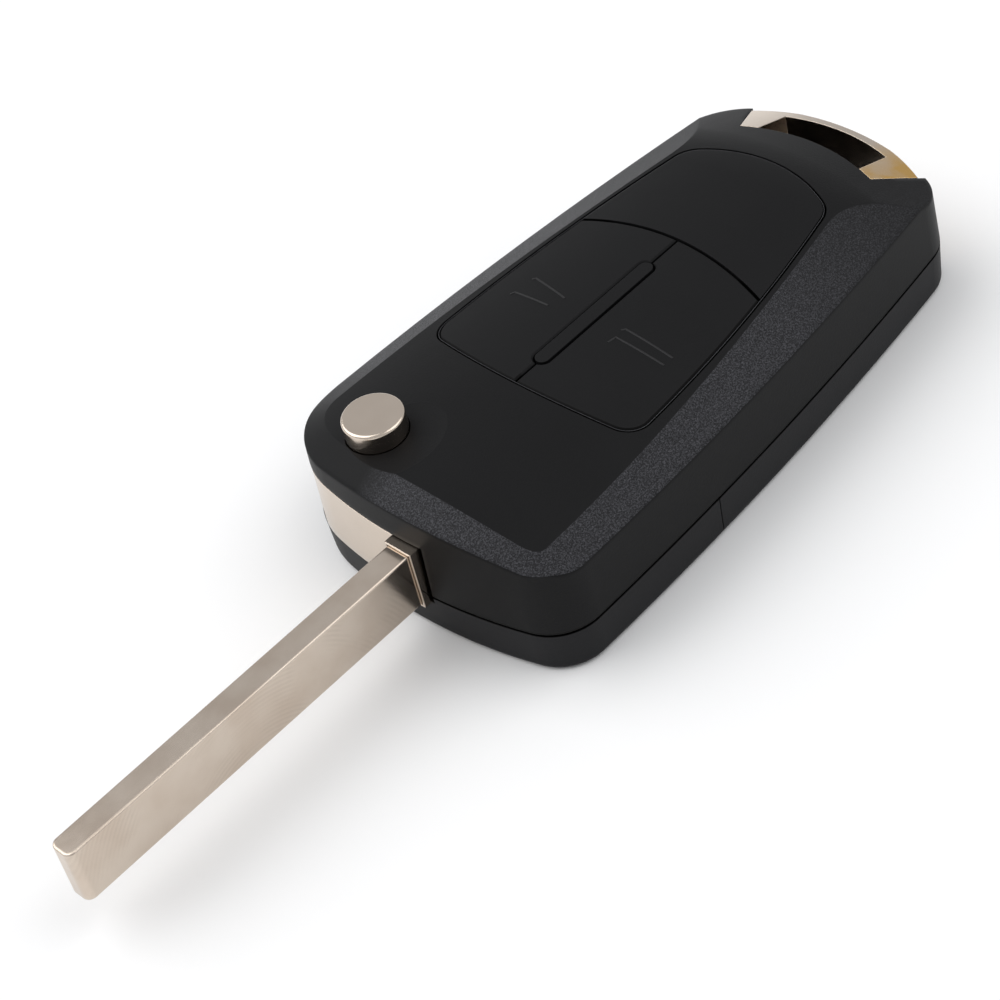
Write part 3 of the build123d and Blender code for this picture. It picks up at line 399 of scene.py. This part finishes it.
def stroke_path(corners):
    """Places about a millimetre apart along a stroke, so that it follows the crown."""
    path = []
    for (x0, y0), (x1, y1) in zip(corners, corners[1:]):
        steps = max(2, int(abs(y1 - y0)))
        path += [Vector((x0, y0, 0)).lerp((x1, y1, 0), i / steps) * MM for i in range(steps)]
    return path + [Vector((*corners[-1], 0)) * MM]


sign_abs = made_stock("moulded_abs_sign", "#1b1b1c", "#202021", 0.42, depth=0.002, gloss=0.3)

for name, strokes, body in (("unlock_sign", V_SIGN, "unlock"), ("lock_sign", BAR_SIGN, "lock")):
    sign = bmesh.new()
    for corners in strokes:
        extrude_along(sign, SIGN_SECTION, stroke_path(corners))
    lay_on_top(sign, name, body, sign_abs)


# Lip of the rubber sheet, which shows as a fine bead in the gap round the keypad

LIP_OUT = 0.13 * MM  # from the sheet's outline to the lip's middle
LIP_HALF = 0.055 * MM
LIP_CREST = 0.4  # share of the width that stays flat on top
LIP_DROP = 0.06 * MM  # under the casing's top, and from the lip's crest to its shoulders
LIP_HEIGHT = 0.8 * MM

LIP_SECTION = [
    (-LIP_OUT - share * LIP_HALF, -LIP_DROP - drop)
    for share, drop in (
        (-1, LIP_HEIGHT), (-1, LIP_DROP), (-LIP_CREST, 0), (LIP_CREST, 0), (1, LIP_DROP), (1, LIP_HEIGHT),
    )
]


def sheet_outline():
    """The rubber sheet's lower edge, laid flat and running anticlockwise, so its outside is on the right."""
    sheet = [vert.co for vert in nodes["keypad_membrane"].data.vertices]
    under = min(point.z for point in sheet)
    edge = [Vector((point.x, point.y, 0)) for point in sheet if point.z < under + 0.01 * MM]
    middle = sum(edge, Vector()) / len(edge)
    edge.sort(key=lambda point: math.atan2(point.y - middle.y, point.x - middle.x))
    return [here for here, there in zip(edge, edge[1:] + edge[:1]) if (there - here).length > 0.02 * MM]


lip = bmesh.new()
extrude_along(lip, LIP_SECTION, sheet_outline(), closed=True)
lay_on_top(lip, "keypad_lip", "casing", lip_silicone())


# Studio: white card, a large soft light high up behind the object, and a dimmer one high on the right

def white_card():
    """Matt card that stays white to the camera, and in reflections, beyond the object's shadow."""
    material, tree = start("white_card")
    spot = node(tree, "TexCoord", out="Object")
    direct = node(tree, "LightPath", out="Is Camera Ray")
    mirrored = node(tree, "LightPath", out="Is Glossy Ray")
    through = node(tree, "LightPath", out="Is Transmission Ray")
    seen = node(tree, "Math", LARGER, node(tree, "Math", LARGER, direct, mirrored), through)
    distance = node(tree, "VectorMath", {"operation": "LENGTH"}, spot)
    beyond = node(tree, "MapRange", None, distance, 160 * MM, 400 * MM, 0.0, 1.0)
    glow = node(tree, "Math", TIMES, seen, beyond)
    fibre = node(tree, "TexNoise", Vector=spot, Scale=1 / (2 * MM))
    card = node(tree, "Mix", MIX, seen, colour("#fbfaf8"), colour("#ffffff"))
    surface = node(
        tree, "BsdfPrincipled", Roughness=0.9, Specular_IOR_Level=0.1,
        Base_Color=node(tree, "Mix", MIX, glow, card, colour("#000000")),
        Emission_Color=colour("#ffffff"), Emission_Strength=glow,
        Normal=node(tree, "Bump", Height=fibre, Distance=0.002 * MM),
    )
    node(tree, "OutputMaterial", Surface=surface)
    return material


bpy.ops.mesh.primitive_plane_add(size=4.0, location=(0, 0, -0.02 * MM))
floor = bpy.context.object
floor.name = "floor"
floor.data.materials.append(white_card())


def soft_light(name, place, target, size, power):
    """A square softbox that points at a place. Lengths are in metres and the power in watts."""
    lamp = bpy.data.lights.new(name, "AREA")
    lamp.shape = "RECTANGLE"
    lamp.size = lamp.size_y = size
    lamp.energy = power
    light = bpy.data.objects.new(name, lamp)
    light.location = place
    light.rotation_euler = (Vector(target) - Vector(place)).to_track_quat("-Z", "Y").to_euler()
    bpy.context.scene.collection.objects.link(light)


soft_light("key", (-0.50, 0.72, 1.08), (-0.03, 0, 0), 1.5, 12.3)
soft_light("right_fill", (0.55, -0.45, 1.0), (0, 0, 0), 1.0, 4.0)

# The room's pale light fills the shadows. Rays from the camera, and through or off the object, find it brighter.
ROOM_LIGHT = 0.56
ADDED_LIGHT = {"Is Glossy Ray": 0.08, "Is Transmission Ray": 0.55, "Is Camera Ray": 0.55}

world = bpy.data.worlds.new("studio")
bpy.context.scene.world = world
world.use_nodes = True
room = world.node_tree
room.nodes.clear()
strength = ROOM_LIGHT
for ray, added in ADDED_LIGHT.items():
    strength = node(room, "Math", TIMES_PLUS, node(room, "LightPath", out=ray), added, strength)
backdrop = node(room, "Background", Color=colour("#f4f5f7"), Strength=strength)
node(room, "OutputWorld", Surface=backdrop)


# Camera, at the photograph's place and angle

CAMERA_PLACE = Vector((-156.18, -182.64, 222.61)) * MM
RIGHT = Vector((0.67643, -0.71222, -0.18760)).normalized()
FORWARD = Vector((0.42150, 0.58322, -0.69440)).normalized()
UP = RIGHT.cross(FORWARD).normalized()

lens = bpy.data.cameras.new("camera")
lens.sensor_width = 36.0
lens.lens = 100.8
lens.clip_start = 0.01
camera = bpy.data.objects.new("camera", lens)
camera.matrix_world = Matrix((
    (RIGHT.x, UP.x, -FORWARD.x, CAMERA_PLACE.x),
    (RIGHT.y, UP.y, -FORWARD.y, CAMERA_PLACE.y),
    (RIGHT.z, UP.z, -FORWARD.z, CAMERA_PLACE.z),
    (0, 0, 0, 1),
))
bpy.context.scene.collection.objects.link(camera)
bpy.context.scene.camera = camera
bpy.context.scene.view_settings.view_transform = "Standard"
